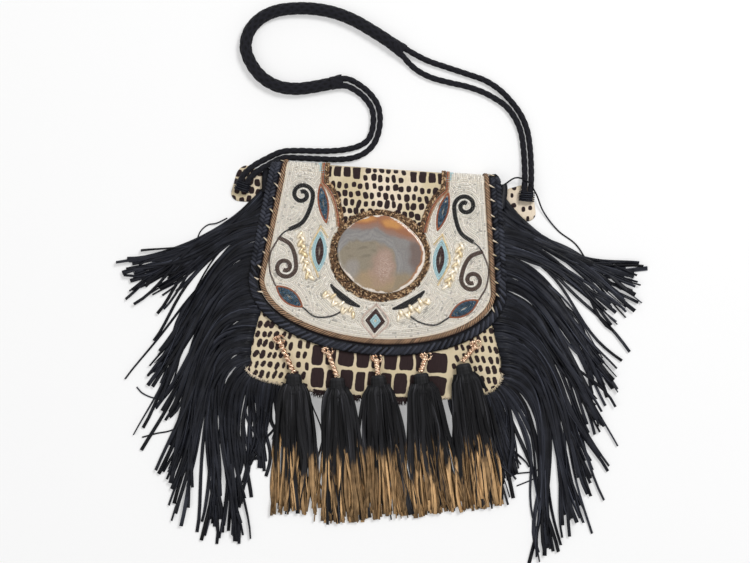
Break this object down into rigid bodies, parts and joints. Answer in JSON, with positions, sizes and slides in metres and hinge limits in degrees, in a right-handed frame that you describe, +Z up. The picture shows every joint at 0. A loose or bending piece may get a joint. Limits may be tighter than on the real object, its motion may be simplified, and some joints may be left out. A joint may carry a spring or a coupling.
{
  "type": "fringed shoulder bag",
  "caption": "Flap-over shoulder bag lying on its back, with a beaded flap, an agate slice, side fringes, tassels and a corded strap; the flap opens and the tassels lift.",
  "frame": {"origin": "middle of the back panel's underside, on the floor", "axes": "+X to the bag's right as its flap is seen, +Y towards the fold, +Z up out of the flap"},
  "size_m": [0.5621, 0.5971, 0.0399],
  "materials": {
    "hide": "hair-on hide, cream with a dark brown animal print",
    "back_leather": "plain dark leather",
    "lining": "woven cotton lining",
    "black_leather": "soft black leather strands and lacing",
    "tassel_leather": "soft black leather with gold-dipped ends",
    "white_beads": "opaque off-white seed beads",
    "bronze_cord": "bronze-brown twisted cord",
    "black_beads": "opaque black beads",
    "brown_beads": "opaque brown beads",
    "blue_beads": "dark blue beads in a copper outline",
    "turquoise_beads": "turquoise beads round a dark brown middle",
    "gold_beads": "gold bugle beads",
    "agate": "polished agate slice with a chipped rim",
    "bead_ring": "bronze-brown beads round the stone",
    "rose_gold_cord": "rose-gold twisted metallic cord",
    "snap_steel": "magnetic snap",
    "strap_cord": "black braided and knitted cord"
  },
  "bodies": {
    "bag": {"back_panel": "back_leather", "flap_fold": "hide", "front_panel": "hide", "gusset": "hide", "left_fringe": "black_leather", "left_strap_cord_lower": "strap_cord", "left_strap_cord_upper": "strap_cord", "left_strap_tab": "hide", "lining": "lining", "right_fringe": "black_leather", "right_strap_cord_lower": "strap_cord", "right_strap_cord_upper": "strap_cord", "right_strap_tab": "hide", "snap_base": "snap_steel", "strap_sleeve": "strap_cord"},
    "flap": {"flap_panel": "hide", "bead_field": "white_beads", "edge_cord": "bronze_cord", "left_window_cord": "bronze_cord", "right_window_cord": "bronze_cord", "flap_lacing": "black_leather", "stone": "agate", "stone_bezel": "bead_ring", "snap_cap": "snap_steel", "left_scroll_upper": "black_beads", "left_leaf_upper": "blue_beads", "left_almond": "turquoise_beads", "left_spray": "gold_beads", "left_scroll_lower": "brown_beads", "left_leaf_lower": "blue_beads", "left_crescent": "black_beads", "left_fan": "gold_beads", "right_scroll_upper": "black_beads", "right_leaf_upper": "blue_beads", "right_almond": "turquoise_beads", "right_spray": "gold_beads", "right_scroll_lower": "brown_beads", "right_leaf_lower": "blue_beads", "right_crescent": "black_beads", "right_fan": "gold_beads", "lozenge": "turquoise_beads"},
    "tassel_1": {"tassel_1_loop": "rose_gold_cord", "tassel_1_head": "tassel_leather", "tassel_1_skirt": "tassel_leather"},
    "tassel_2": {"tassel_2_loop": "rose_gold_cord", "tassel_2_head": "tassel_leather", "tassel_2_skirt": "tassel_leather"},
    "tassel_3": {"tassel_3_loop": "rose_gold_cord", "tassel_3_head": "tassel_leather", "tassel_3_skirt": "tassel_leather"},
    "tassel_4": {"tassel_4_loop": "rose_gold_cord", "tassel_4_head": "tassel_leather", "tassel_4_skirt": "tassel_leather"},
    "tassel_5": {"tassel_5_loop": "rose_gold_cord", "tassel_5_head": "tassel_leather", "tassel_5_skirt": "tassel_leather"}
  },
  "joints": [
    {"name": "flap_hinge", "type": "hinge", "parent": "bag", "child": "flap", "pos_m": [0, 0.1139, 0.021], "axis": [-1, 0, 0], "range_deg": [0, 145]},
    {"name": "tassel_1_swing", "type": "hinge", "parent": "bag", "child": "tassel_1", "pos_m": [-0.104, -0.07322, 0.02635], "axis": [-1, 0, 0], "range_deg": [0, 60]},
    {"name": "tassel_2_swing", "type": "hinge", "parent": "bag", "child": "tassel_2", "pos_m": [-0.05, -0.08148, 0.02671], "axis": [-1, 0, 0], "range_deg": [0, 60]},
    {"name": "tassel_3_swing", "type": "hinge", "parent": "bag", "child": "tassel_3", "pos_m": [0.004, -0.0863, 0.02693], "axis": [-1, 0, 0], "range_deg": [0, 60]},
    {"name": "tassel_4_swing", "type": "hinge", "parent": "bag", "child": "tassel_4", "pos_m": [0.058, -0.07973, 0.02664], "axis": [-1, 0, 0], "range_deg": [0, 60]},
    {"name": "tassel_5_swing", "type": "hinge", "parent": "bag", "child": "tassel_5", "pos_m": [0.112, -0.06328, 0.02591], "axis": [-1, 0, 0], "range_deg": [0, 60]}
  ]
}
